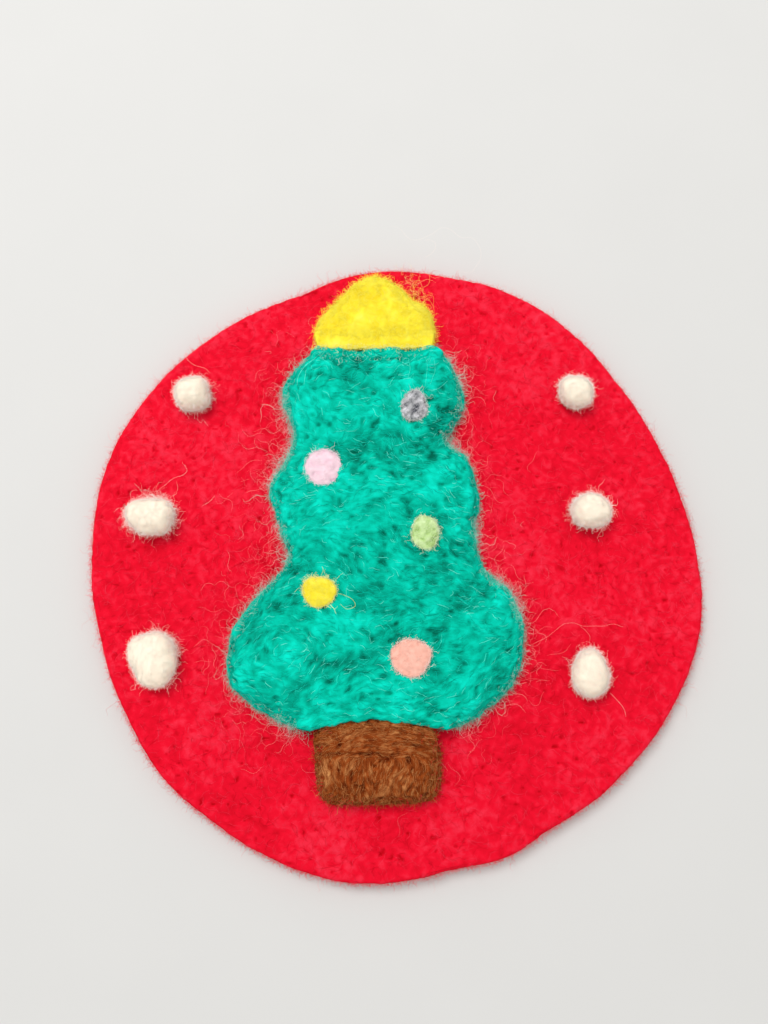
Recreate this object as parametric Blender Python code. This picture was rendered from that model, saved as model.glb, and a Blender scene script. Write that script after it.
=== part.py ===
"""A needle-felted tree on a hand-cut round of thick red felt, lying face up.

Lengths are in metres. +Z is up, +Y runs up the tree, and the origin is under the middle of the round.
Each tuft of wool has a flat foot in a pocket that the needle has pressed into what carries it.
"""

import math

import bmesh
import bpy
from mathutils import Vector, geometry

MM = 0.001

# The red felt round, cut by hand so that it leaves these borders above and below the tree
felt_thickness = 2.5 * MM
felt_edge_round = 0.6 * MM
border_above_topper = 1.6 * MM
border_below_trunk = 10.7 * MM

# How wool is needled in: the pocket's depth in its carrier, and the clearance all round a foot
felt_pocket_depth = 0.8 * MM
tree_dimple_depth = 0.9 * MM
seat_gap = 0.3 * MM
cut_overrun = 3.0 * MM

# The green tree. Its offset is how far its axis lies to the right of the round's middle
tree_width = 42.6 * MM
tree_length = 56.0 * MM
tree_rise = 3.7 * MM
tree_edge_round = 4.4 * MM
tree_offset = -3.0 * MM

# The brown trunk, whose top arches up into the tree
trunk_width = 18.2 * MM
trunk_length = 10.2 * MM
trunk_rise = 3.1 * MM
trunk_edge_round = 2.6 * MM
trunk_arch = 1.8 * MM

# The yellow topper, whose lower edge sags into the tree
topper_width = 18.7 * MM
topper_length = 11.8 * MM
topper_rise = 3.2 * MM
topper_edge_round = 3.2 * MM
topper_sag = 0.5 * MM

# The wool balls: snow on the felt and ornaments on the tree. The diameters are the largest ones'
snow_diameter = 8.2 * MM
snow_rise = 4.3 * MM
ornament_diameter = 6.3 * MM
ornament_rise = 1.4 * MM

# How fine the meshes are
wool_spacing = 2.0 * MM
join_distance = 0.001 * MM
outline_steps = 3
seam_steps = 10
felt_edge_steps = 2
snow_sides = 18
snow_steps = 4
ornament_sides = 16
ornament_steps = 3
tuck_steps = 2

# What follows from the sizes above
tree_half = tree_width / 2
trunk_half = trunk_width / 2
topper_half = topper_width / 2
tree_stack_length = trunk_length + seat_gap + tree_length + seat_gap + topper_length
felt_radius = (border_below_trunk + tree_stack_length + border_above_topper) / 2
tree_base_y = -felt_radius + border_below_trunk + trunk_length + seat_gap
foot_depth = felt_pocket_depth - seat_gap

# The cut edge's distance from the middle, every ten degrees from +X, as shares of the felt's radius
felt_edge_shares = [
    0.982, 0.968, 0.957, 0.955, 0.960, 0.978, 0.992, 0.999, 0.994,
    1.003, 0.996, 0.970, 0.977, 0.985, 0.998, 1.005, 1.015, 1.004,
    0.994, 0.989, 0.983, 0.989, 1.001, 0.999, 0.998, 1.003, 1.004,
    0.992, 0.972, 0.980, 0.962, 0.972, 0.979, 0.991, 1.001, 1.000,
]  # fmt: skip

# The tree's sides as shares of its half width and its length, from its axis and its foot
tree_left_shares = [
    (-0.535, 0.956), (-0.629, 0.912), (-0.653, 0.871), (-0.592, 0.804), (-0.577, 0.753),
    (-0.634, 0.688), (-0.737, 0.621), (-0.685, 0.568), (-0.629, 0.492), (-0.601, 0.443),
    (-0.671, 0.386), (-0.808, 0.325), (-0.934, 0.259), (-0.991, 0.191), (-0.985, 0.129),
    (-0.883, 0.079), (-0.718, 0.037), (-0.555, 0.008),
]  # fmt: skip
tree_right_shares = [
    (0.573, 0.008), (0.775, 0.055), (0.920, 0.106), (0.995, 0.173), (0.995, 0.227),
    (0.972, 0.286), (0.883, 0.350), (0.761, 0.393), (0.714, 0.446), (0.690, 0.504),
    (0.714, 0.584), (0.681, 0.650), (0.638, 0.696), (0.531, 0.732), (0.516, 0.760),
    (0.577, 0.797), (0.629, 0.843), (0.624, 0.896), (0.563, 0.943), (0.479, 0.979),
]  # fmt: skip

# The seams' half widths, as shares of the half widths of the trunk and the topper
trunk_seam_share = 0.95
topper_seam_share = 0.92

# The trunk below its seam, as shares of its half width and its length
trunk_shares = [
    (-0.94, -0.37), (-0.90, -0.76), (-0.81, -0.93), (-0.60, -0.99), (-0.10, -1.00),
    (0.52, -1.00), (0.87, -0.94), (1.00, -0.78), (1.04, -0.37),
]  # fmt: skip

# The topper above its seam, as shares of its half width and its length
topper_shares = [
    (0.97, 0.18), (0.96, 0.36), (0.92, 0.48), (0.82, 0.58), (0.65, 0.64), (0.54, 0.71), (0.48, 0.79),
    (0.35, 0.87), (0.17, 0.96), (-0.04, 1.00), (-0.22, 0.95), (-0.39, 0.87), (-0.51, 0.76),
    (-0.64, 0.65), (-0.78, 0.53), (-0.90, 0.42), (-0.97, 0.30), (-1.01, 0.16),
]  # fmt: skip

# The wool's height above its carrier: at its edge, over its rounded border and at its deepest middle
wool_lip_share = 0.16
wool_border_share = 0.86
wool_crown_reach_share = 0.75
wool_ring_shares = (0.22, 0.62)
wool_ring_slack_share = 0.9

# Each snow ball: its place as shares of the felt's radius, and its width and length as shares of
# snow_diameter. Its shape is how much heavier one side is and which way, and the depth of its
# three lobes and which way the first points, where a way is a share of a turn from +X
snow_shares = {
    "snow_left_top": ((-0.673, 0.543), (0.72, 0.71), (0.03, 0.56, 0.02, 0.22)),
    "snow_left_middle": ((-0.788, 0.132), (0.91, 0.73), (0.04, 0.50, 0.04, 0.44)),
    "snow_left_bottom": ((-0.764, -0.314), (0.90, 1.00), (0.06, 0.83, 0.03, 0.79)),
    "snow_right_top": ((0.600, 0.549), (0.71, 0.69), (0.02, 0.13, 0.02, 0.08)),
    "snow_right_middle": ((0.631, 0.151), (0.78, 0.73), (0.03, 0.69, 0.02, 0.25)),
    "snow_right_bottom": ((0.609, -0.358), (0.71, 0.91), (0.10, 0.75, 0.03, 0.25)),
}
snow_foot_share = 0.80
snow_waist_share = 0.40

# Each ornament: its place as shares of the tree's half width and its length, and as above its
# size, as shares of ornament_diameter, and its shape
ornament_shares = {
    "ornament_grey": ((0.273, 0.831), (0.72, 0.86), (0.04, 0.75, 0.03, 0.25)),
    "ornament_pink": ((-0.353, 0.664), (0.92, 0.95), (0.03, 0.06, 0.02, 0.17)),
    "ornament_lime": ((0.339, 0.492), (0.74, 0.84), (0.02, 0.28, 0.02, 0.25)),
    "ornament_yellow": ((-0.373, 0.340), (0.88, 0.78), (0.03, 0.11, 0.04, 0.08)),
    "ornament_salmon": ((0.237, 0.176), (1.00, 0.94), (0.03, 0.19, 0.02, 0.42)),
}
ornament_foot_share = 0.94
ornament_waist_share = 0.30


def linear(red, green, blue):
    """The linear colour that Blender's shaders take, from the usual 0 to 255 values."""
    return [(value / 255) ** 2.2 for value in (red, green, blue)] + [1.0]


def wool_material(name, colour):
    material = bpy.data.materials.new(name)
    material.use_nodes = True
    shader = material.node_tree.nodes["Principled BSDF"]
    shader.inputs["Base Color"].default_value = colour
    shader.inputs["Roughness"].default_value = 0.95
    shader.inputs["Metallic"].default_value = 0.0
    material.diffuse_color = colour
    return material


def add_object(name, mesh, location, parent=None, material=None):
    """An object in the scene, shaded smooth. Without a material it is a cutter."""
    made = bpy.data.objects.new(name, mesh)
    bpy.context.scene.collection.objects.link(made)
    made.location = location
    made.parent = parent
    if material is None:
        made.hide_render = True
        made.display_type = "WIRE"
        return made
    mesh.materials.append(material)
    mesh.shade_smooth()
    mesh.set_sharp_from_angle(angle=math.radians(50))
    return made


def finished_mesh(name, bm):
    bmesh.ops.recalc_face_normals(bm, faces=bm.faces)
    mesh = bpy.data.meshes.new(name)
    bm.to_mesh(mesh)
    bm.free()
    return mesh


def cut(carrier, cutter):
    """Takes a cutter's space out of the piece that carries a foot."""
    boolean = carrier.modifiers.new(cutter.name, "BOOLEAN")
    boolean.operation = "DIFFERENCE"
    boolean.solver = "EXACT"
    boolean.object = cutter


def scaled(shares, width, length):
    return [Vector((x * width, y * length)) for x, y in shares]


def smooth_stretch(chain, steps):
    """Points on a smooth curve through a chain, whose first and last points only steer it."""
    stretch = []
    for before, start, end, after in zip(chain, chain[1:], chain[2:], chain[3:]):
        leave = start + (end - before) / 6
        arrive = end - (after - start) / 6
        curve = geometry.interpolate_bezier(start, leave, arrive, end, steps + 1)
        stretch += [point.to_2d() for point in curve[:-1]]
    return stretch


def smooth_loop(points):
    return smooth_stretch([points[-1], *points, points[0], points[1]], outline_steps)


def smooth_run(points):
    """An open run. It starts and ends at its first and last points."""
    first = 2 * points[0] - points[1]
    last = 2 * points[-1] - points[-2]
    return smooth_stretch([first, *points, last], outline_steps) + [points[-1]]


def centred(outline):
    """The outline with the middle of its box at the origin."""
    low = Vector((min(point.x for point in outline), min(point.y for point in outline)))
    high = Vector((max(point.x for point in outline), max(point.y for point in outline)))
    return [point - (low + high) / 2 for point in outline]


def grown(outline, distance):
    """The outline moved outwards by a distance, or inwards by a negative one. It runs counterclockwise."""
    moved = []
    for index, point in enumerate(outline):
        come = (point - outline[index - 1]).normalized()
        go = (outline[(index + 1) % len(outline)] - point).normalized()
        outward = Vector((come.y + go.y, -come.x - go.x)).normalized()
        corner = max(outward.dot(Vector((go.y, -go.x))), 0.5)
        moved.append(point + outward * distance / corner)
    return moved


def depth_inside(point, outline):
    """How far a point lies from the nearest stretch of an outline."""
    nearest = math.inf
    for index, end in enumerate(outline):
        start = outline[index - 1]
        stretch = end - start
        share = (point - start).dot(stretch) / stretch.length_squared
        foot = start + stretch * min(max(share, 0), 1)
        nearest = min(nearest, (point - foot).length)
    return nearest


def is_inside(point, outline):
    crossings = 0
    for index, end in enumerate(outline):
        start = outline[index - 1]
        if (start.y > point.y) == (end.y > point.y):
            continue
        share = (point.y - start.y) / (end.y - start.y)
        crossings += start.x + share * (end.x - start.x) > point.x
    return crossings % 2 == 1


def wool_height(depth, rise, edge_round, deepest):
    """The top's height where the outline is this far away: a lip, a quarter round and a slow crown."""
    inward = min(depth / edge_round, 1)
    crown = min(depth / (deepest * wool_crown_reach_share), 1)
    quarter_round = math.sqrt(1 - (1 - inward) ** 2)
    border = wool_lip_share + (wool_border_share - wool_lip_share) * quarter_round
    return rise * (border + (1 - wool_border_share) * math.sin(crown * math.pi / 2))


def ring_inside(outline, border):
    """Points this far inside an outline, without those that a tight corner would throw across it."""
    ring = []
    for point in grown(outline, -border):
        nearest = depth_inside(point, outline)
        if is_inside(point, outline) and nearest > border * wool_ring_slack_share:
            ring.append(point)
    return ring


def grid_inside(outline, border):
    """Points in staggered rows, all further in than the border."""
    left = min(point.x for point in outline)
    right = max(point.x for point in outline)
    bottom = min(point.y for point in outline)
    top = max(point.y for point in outline)
    row_height = wool_spacing * math.sin(math.pi / 3)
    points = []
    for row in range(1, math.ceil((top - bottom) / row_height)):
        shift = wool_spacing / 2 * (row % 2)
        for column in range(math.ceil((right - left) / wool_spacing)):
            point = Vector((left + shift + column * wool_spacing, bottom + row * row_height))
            if is_inside(point, outline) and depth_inside(point, outline) > border:
                points.append(point)
    return points


def wool_pillow_mesh(name, outline, rise, edge_round):
    """A pillow of wool: a flat foot below its carrier's face, an upright wall and a rounded top."""
    points = list(outline)
    for share in wool_ring_shares:
        points += ring_inside(outline, edge_round * share)
    points += grid_inside(outline, edge_round * wool_ring_shares[-1] + wool_spacing / 2)
    whole = [list(range(len(outline)))]
    flat, _, faces, origins, _, _ = geometry.delaunay_2d_cdt(points, [], whole, 1, join_distance)
    depths = [depth_inside(point, outline) for point in flat]
    deepest = max(depths)

    bm = bmesh.new()
    top = []
    edge_points = {}
    for point, depth, origin in zip(flat, depths, origins):
        height = wool_height(depth, rise, edge_round, deepest)
        top.append(bm.verts.new((point.x, point.y, height)))
        for source in origin:
            if source < len(outline):
                edge_points[source] = top[-1]
    for face in faces:
        bm.faces.new([top[index] for index in face])
    rim = [edge_points[index] for index in range(len(outline))]
    foot = [bm.verts.new((vert.co.x, vert.co.y, -foot_depth)) for vert in rim]
    for index in range(len(rim)):
        bm.faces.new((rim[index - 1], rim[index], foot[index], foot[index - 1]))
    bm.faces.new(foot)
    return finished_mesh(name, bm)


def ring_solid_mesh(name, rings, top_point=None):
    """A closed solid from level rings of as many points each. It ends in a flat face or a point."""
    bm = bmesh.new()
    loops = [[bm.verts.new(point) for point in ring] for ring in rings]
    bm.faces.new(loops[0])
    for lower, upper in zip(loops, loops[1:]):
        for index in range(len(lower)):
            bm.faces.new((lower[index - 1], lower[index], upper[index], upper[index - 1]))
    if top_point is None:
        bm.faces.new(loops[-1])
    else:
        tip = bm.verts.new(top_point)
        for index in range(len(loops[-1])):
            bm.faces.new((loops[-1][index - 1], loops[-1][index], tip))
    return finished_mesh(name, bm)


def level_ring(outline, height):
    return [(point.x, point.y, height) for point in outline]


def add_pocket(name, carrier, outline, depth, location, parent=None):
    """Cuts a flat-floored pocket, one clearance wider than the foot that sits in it."""
    wall = grown(outline, seat_gap)
    mesh = ring_solid_mesh(name, [level_ring(wall, -depth), level_ring(wall, cut_overrun)])
    cut(carrier, add_object(name, mesh, location, parent))


def ball_outline(size, shape, sides):
    """The plan of a wool ball, from its width and length and its heavier side and lobes."""
    heavy_share, heavy_turn_share, lobe_share, lobe_turn_share = shape
    outline = []
    for index in range(sides):
        angle = 2 * math.pi * index / sides
        heavy = heavy_share * math.cos(angle - 2 * math.pi * heavy_turn_share)
        lobes = lobe_share * math.cos(3 * (angle - 2 * math.pi * lobe_turn_share))
        reach = (1 + heavy + lobes) / 2
        outline.append(Vector((size.x * reach * math.cos(angle), size.y * reach * math.sin(angle))))
    return outline


def wool_ball_mesh(name, plan, rise, depth, foot_share, waist_share, steps):
    """A ball of wool: a foot below its carrier's face, a waist as wide as its plan and a round top."""
    waist = rise * waist_share
    tuck = math.acos(foot_share)
    rings = [level_ring([point * foot_share for point in plan], -depth)]
    for step in range(tuck_steps):
        angle = tuck * (1 - step / tuck_steps)
        height = waist - (waist - seat_gap) * math.sin(angle) / math.sin(tuck)
        rings.append(level_ring([point * math.cos(angle) for point in plan], height))
    for step in range(steps):
        angle = math.pi / 2 * step / steps
        height = waist + (rise - waist) * math.sin(angle)
        rings.append(level_ring([point * math.cos(angle) for point in plan], height))
    return ring_solid_mesh(name, rings, (0, 0, rise))


for old in list(bpy.data.objects):
    bpy.data.objects.remove(old)

red_felt = wool_material("red_felt", linear(228, 24, 44))
green_wool = wool_material("green_wool", linear(6, 184, 156))
brown_wool = wool_material("brown_wool", linear(139, 71, 34))
yellow_wool = wool_material("yellow_wool", linear(250, 232, 50))
white_wool = wool_material("white_wool", linear(253, 243, 225))
ornament_wool = {
    "ornament_grey": wool_material("grey_wool", linear(148, 150, 154)),
    "ornament_pink": wool_material("pink_wool", linear(235, 200, 215)),
    "ornament_lime": wool_material("lime_wool", linear(178, 218, 132)),
    "ornament_yellow": yellow_wool,
    "ornament_salmon": wool_material("salmon_wool", linear(246, 188, 172)),
}

# The outlines of the tree, its trunk and its topper, counterclockwise from the tree's axis and foot.
# The trunk and the topper take their inner edges from the tree's seams, one clearance away
seam_places = [2 * index / seam_steps - 1 for index in range(seam_steps + 1)]
trunk_seam = [
    Vector((place * trunk_half * trunk_seam_share, trunk_arch * (1 - place**2)))
    for place in seam_places
]
topper_seam = [
    Vector((-place * topper_half * topper_seam_share, tree_length - topper_sag * (1 - place**2)))
    for place in seam_places
]
trunk_drop = Vector((0, -seat_gap))
topper_lift = Vector((0, seat_gap))
topper_foot = Vector((0, tree_length + seat_gap))

tree_left = scaled(tree_left_shares, tree_half, tree_length)
tree_right = scaled(tree_right_shares, tree_half, tree_length)
left_run = smooth_run([topper_seam[-1], *tree_left, trunk_seam[0]])
right_run = smooth_run([trunk_seam[-1], *tree_right, topper_seam[0]])

trunk_top = [point + trunk_drop for point in trunk_seam]
trunk_sides = [point + trunk_drop for point in scaled(trunk_shares, trunk_half, trunk_length)]
trunk_run = smooth_run([trunk_top[0], *trunk_sides, trunk_top[-1]])

topper_bottom = [point + topper_lift for point in topper_seam]
topper_sides = [point + topper_foot for point in scaled(topper_shares, topper_half, topper_length)]
topper_run = smooth_run([topper_bottom[0], *topper_sides, topper_bottom[-1]])

tree_outline = left_run + trunk_seam[1:-1] + right_run + topper_seam[1:-1]
trunk_outline = trunk_run + trunk_top[-2:0:-1]
topper_outline = topper_run + topper_bottom[-2:0:-1]
whole_outline = left_run[1:-1] + trunk_run + right_run[1:-1] + topper_run

# The red round, with rounded cut edges, and the pockets in its face
felt_edge = []
for index, share in enumerate(felt_edge_shares):
    angle = 2 * math.pi * index / len(felt_edge_shares)
    felt_edge.append(Vector((math.cos(angle), math.sin(angle))) * felt_radius * share)
felt_outline = centred(smooth_loop(felt_edge))
felt_rings = []
for side in (-1, 1):
    middle = felt_thickness / 2 + side * (felt_thickness / 2 - felt_edge_round)
    for step in range(felt_edge_steps + 1):
        turn = math.pi / 2 * (step if side == 1 else felt_edge_steps - step) / felt_edge_steps
        inset = grown(felt_outline, -felt_edge_round * (1 - math.cos(turn)))
        felt_rings.append(level_ring(inset, middle + side * felt_edge_round * math.sin(turn)))
felt_round = add_object(
    "felt_round", ring_solid_mesh("felt_round", felt_rings), (0, 0, 0), material=red_felt
)

tree_base = bpy.data.objects.new("tree_base", None)
bpy.context.scene.collection.objects.link(tree_base)
tree_base.location = (tree_offset, tree_base_y, felt_thickness)
add_pocket("pocket_tree", felt_round, whole_outline, felt_pocket_depth, (0, 0, 0), tree_base)

# The tree, its trunk and its topper
tree_mesh = wool_pillow_mesh("tree_body", tree_outline, tree_rise, tree_edge_round)
tree_body = add_object("tree_body", tree_mesh, (0, 0, 0), tree_base, green_wool)
trunk_mesh = wool_pillow_mesh("tree_trunk", trunk_outline, trunk_rise, trunk_edge_round)
add_object("tree_trunk", trunk_mesh, (0, 0, 0), tree_base, brown_wool)
topper_mesh = wool_pillow_mesh("tree_topper", topper_outline, topper_rise, topper_edge_round)
add_object("tree_topper", topper_mesh, (0, 0, 0), tree_base, yellow_wool)

# The snow, in pockets in the felt
for name, (place, size, shape) in snow_shares.items():
    plan = ball_outline(Vector(size) * snow_diameter, shape, snow_sides)
    location = (place[0] * felt_radius, place[1] * felt_radius, felt_thickness)
    foot = [point * snow_foot_share for point in plan]
    add_pocket("pocket_" + name, felt_round, foot, felt_pocket_depth, location)
    mesh = wool_ball_mesh(
        name, plan, snow_rise, foot_depth, snow_foot_share, snow_waist_share, snow_steps
    )
    add_object(name, mesh, location, material=white_wool)

# The ornaments, in dimples in the tree's top
tree_deepest = max(depth_inside(point, tree_outline) for point in grid_inside(tree_outline, 0))
for name, (place, size, shape) in ornament_shares.items():
    plan = ball_outline(Vector(size) * ornament_diameter, shape, ornament_sides)
    centre = Vector((place[0] * tree_half, place[1] * tree_length))
    depth = depth_inside(centre, tree_outline)
    top = wool_height(depth, tree_rise, tree_edge_round, tree_deepest)
    location = (centre.x, centre.y, top)
    foot = [point * ornament_foot_share for point in plan]
    add_pocket("dimple_" + name, tree_body, foot, tree_dimple_depth, location, tree_body)
    mesh = wool_ball_mesh(
        name,
        plan,
        ornament_rise,
        tree_dimple_depth - seat_gap,
        ornament_foot_share,
        ornament_waist_share,
        ornament_steps,
    )
    add_object(name, mesh, location, tree_body, ornament_wool[name])
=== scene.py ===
"""The looks of a needle-felted tree on a hand-cut red felt round.

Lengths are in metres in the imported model's frame, +Z up and +Y up the tree, except where a comment
says millimetres. Each tuft of wool is a fine mesh grown from its CAD solid, with locks, lumps and
needle pits, and with loose fibres of its own.
"""

import itertools
import math
from collections import namedtuple

import bmesh
import bpy
import numpy as np
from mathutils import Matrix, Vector, geometry
from mathutils.bvhtree import BVHTree


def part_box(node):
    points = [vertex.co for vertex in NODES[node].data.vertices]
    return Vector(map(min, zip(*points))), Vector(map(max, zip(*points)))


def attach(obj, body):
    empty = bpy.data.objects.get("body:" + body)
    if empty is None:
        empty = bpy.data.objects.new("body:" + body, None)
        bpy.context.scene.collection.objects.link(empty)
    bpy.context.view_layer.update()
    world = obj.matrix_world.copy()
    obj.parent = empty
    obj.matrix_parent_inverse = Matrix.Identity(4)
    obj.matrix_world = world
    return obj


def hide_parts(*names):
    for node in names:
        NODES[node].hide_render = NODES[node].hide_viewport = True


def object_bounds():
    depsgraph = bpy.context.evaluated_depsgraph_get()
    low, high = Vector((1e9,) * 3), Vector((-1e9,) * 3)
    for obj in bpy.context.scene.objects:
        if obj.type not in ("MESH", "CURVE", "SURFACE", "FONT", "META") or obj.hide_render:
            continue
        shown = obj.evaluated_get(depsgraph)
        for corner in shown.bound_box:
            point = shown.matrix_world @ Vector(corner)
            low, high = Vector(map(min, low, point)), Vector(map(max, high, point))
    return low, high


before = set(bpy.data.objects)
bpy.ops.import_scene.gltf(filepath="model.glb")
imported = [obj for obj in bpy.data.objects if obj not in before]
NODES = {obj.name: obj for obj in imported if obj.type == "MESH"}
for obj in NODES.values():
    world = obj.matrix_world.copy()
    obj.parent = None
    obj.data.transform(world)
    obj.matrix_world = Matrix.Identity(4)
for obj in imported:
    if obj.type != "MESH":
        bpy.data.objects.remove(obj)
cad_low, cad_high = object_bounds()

MM = 0.001
TURN = 2 * math.pi


def mm(*sizes):
    """Sizes in millimetres, as metres."""
    return tuple(size * MM for size in sizes)


# The camera of the photograph, which looks down a little towards the tree's top
photo_width, photo_height = 768, 1024
photo_focal_pixels = 770
sensor_long_side = 36.0
camera_place = Vector((-1.66 * MM, -11.05 * MM, 115.8 * MM))
camera_tilt = math.radians(9)

felt_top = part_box("felt_round")[1].z
tree_low, tree_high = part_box("tree_body")
trunk_low, trunk_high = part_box("tree_trunk")
topper_low, topper_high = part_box("tree_topper")
topper_middle = (topper_low.x + topper_high.x) / 2


def from_photo(column, row, height=0.0):
    """The point at this height above the felt that the photograph shows at a pixel."""
    ray = Vector((column - photo_width / 2, photo_height / 2 - row, -photo_focal_pixels))
    cosine, sine = math.cos(camera_tilt), math.sin(camera_tilt)
    ray = Vector((ray.x, ray.y * cosine - ray.z * sine, ray.y * sine + ray.z * cosine))
    reach = (felt_top + height - camera_place.z) / ray.z
    return camera_place + ray * reach


# Noise and streaks

def noise(points, period, seed):
    """Smooth noise from -1 to 1, in lumps about half a period across."""
    place = points / period
    cell = np.floor(place)
    part = place - cell
    ease = part * part * (3 - 2 * part)
    cell = cell.astype(np.int64)
    total = np.zeros(len(points))
    for corner in itertools.product((0, 1), repeat=3):
        key = (cell[:, 0] + corner[0]) * 73856093
        key ^= (cell[:, 1] + corner[1]) * 19349663
        key ^= (cell[:, 2] + corner[2]) * 83492791
        key ^= seed * 40503001
        key = (key ^ (key >> 13)) * 1274126177
        value = ((key ^ (key >> 16)) & 0xFFFF) / 0x8000 - 1
        weight = np.ones(len(points))
        for axis in range(3):
            weight *= ease[:, axis] if corner[axis] else 1 - ease[:, axis]
        total += value * weight
    return total


def even_spread(values):
    return (values - values.mean()) / values.std()


def lumps(points, width, seed):
    """Noise of three sizes together, with lumps of this width and a spread of 1."""
    total = noise(points, width * 2, seed)
    total += 0.5 * noise(points, width, seed + 1)
    return even_spread(total + 0.25 * noise(points, width / 2, seed + 2))


def streaks(points, along, length, width, seed):
    """Noise drawn out along a direction at each point, with a spread of 1."""
    count = max(4, round(1.6 * length / width))
    total = np.zeros(len(points))
    for place in np.linspace(-0.5, 0.5, count):
        total += noise(points + along * (place * length), width * 2, seed)
    return even_spread(total)


def smooth_step(value, start, end):
    share = np.clip((value - start) / (end - start), 0, 1)
    return share * share * (3 - 2 * share)


def unit(vectors):
    length = np.linalg.norm(vectors, axis=-1, keepdims=True)
    return vectors / np.maximum(length, 1e-12)


# Meshes

def show(name, data):
    made = bpy.data.objects.new(name, data)
    bpy.context.scene.collection.objects.link(made)
    return made


def points_of(mesh):
    points = np.empty(len(mesh.vertices) * 3)
    mesh.vertices.foreach_get("co", points)
    return points.reshape(-1, 3)


def heights_of(mesh):
    heights = points_of(mesh)[:, 2]
    return heights.min(), heights.max()


def normals_of(mesh):
    normals = np.empty(len(mesh.vertices) * 3)
    mesh.vertex_normals.foreach_get("vector", normals)
    return normals.reshape(-1, 3)


def set_points(mesh, points):
    mesh.vertices.foreach_set("co", points.ravel())
    mesh.update()


def round_off(mesh, rounds):
    """Rounds off the bends of a mesh, by moving each point halfway to the middle of its neighbours."""
    ends = np.empty(len(mesh.edges) * 2, np.int32)
    mesh.edges.foreach_get("vertices", ends)
    others = ends.reshape(-1, 2)[:, ::-1].ravel()
    points = points_of(mesh)
    neighbours = np.bincount(ends, minlength=len(points))
    for _ in range(rounds):
        for axis in range(3):
            total = np.bincount(ends, weights=points[others, axis], minlength=len(points))
            points[:, axis] = (points[:, axis] + total / neighbours) / 2
    set_points(mesh, points)


def set_shade(mesh, values):
    """Writes the attribute that a wool or felt material takes its shade from, 0 deep to 1 light."""
    shade = mesh.attributes.new("shade", "FLOAT", "POINT")
    shade.data.foreach_set("value", np.clip(values, 0, 1).astype(np.float32))


def surface_of(mesh):
    """What nearest points are looked up on."""
    mesh.calc_loop_triangles()
    corners = np.empty(len(mesh.loop_triangles) * 3, np.int32)
    mesh.loop_triangles.foreach_get("vertices", corners)
    return BVHTree.FromPolygons(points_of(mesh).tolist(), corners.reshape(-1, 3).tolist())


def nearest_on(surface, points):
    found = [surface.find_nearest(point) for point in points.tolist()]
    places = np.array([place for place, _, _, _ in found])
    normals = np.array([normal for _, normal, _, _ in found])
    return places, normals


def even_mesh(node, voxel, rounding, foot, fillers=()):
    """A fine even mesh of a CAD solid. Below the height of its foot it is cut off flat.

    fillers are meshes that close the pockets in it.
    """
    joined = bmesh.new()
    for mesh in (NODES[node].data, *fillers):
        joined.from_mesh(mesh)
    mesh = bpy.data.meshes.new(node + "_source")
    joined.to_mesh(mesh)
    joined.free()
    source = show(node + "_source", mesh)
    remesh = source.modifiers.new("even", "REMESH")
    remesh.mode = "VOXEL"
    remesh.voxel_size = voxel
    smooth = source.modifiers.new("rounding", "SMOOTH")
    smooth.factor = 0.5
    smooth.iterations = rounding
    graph = bpy.context.evaluated_depsgraph_get()
    bm = bmesh.new()
    bm.from_object(source, graph)
    bpy.data.objects.remove(source)
    geom = bm.verts[:] + bm.edges[:] + bm.faces[:]
    bmesh.ops.bisect_plane(
        bm, geom=geom, plane_co=(0, 0, foot), plane_no=(0, 0, 1), clear_inner=True
    )
    rim = [edge for edge in bm.edges if edge.is_boundary]
    bmesh.ops.holes_fill(bm, edges=rim, sides=0)
    bmesh.ops.recalc_face_normals(bm, faces=bm.faces)
    mesh = bpy.data.meshes.new(node + "_wool")
    bm.to_mesh(mesh)
    bm.free()
    mesh.shade_smooth()
    return mesh


# Materials

def linear(red, green, blue):
    """The linear colour that shaders take, from the usual 0 to 255 values."""
    return [(value / 255) ** 2.2 for value in (red, green, blue)] + [1.0]


def blank_material(name):
    """A new material, with its nodes and its shader."""
    material = bpy.data.materials.new(name)
    material.use_nodes = True
    nodes = material.node_tree.nodes
    return material, nodes, nodes["Principled BSDF"]


def set_inputs(node, values):
    for name, value in values.items():
        node.inputs[name].default_value = value


def join(source, output, target, field):
    source.id_data.links.new(source.outputs[output], target.inputs[field])


grain_width = 0.22 * MM


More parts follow.
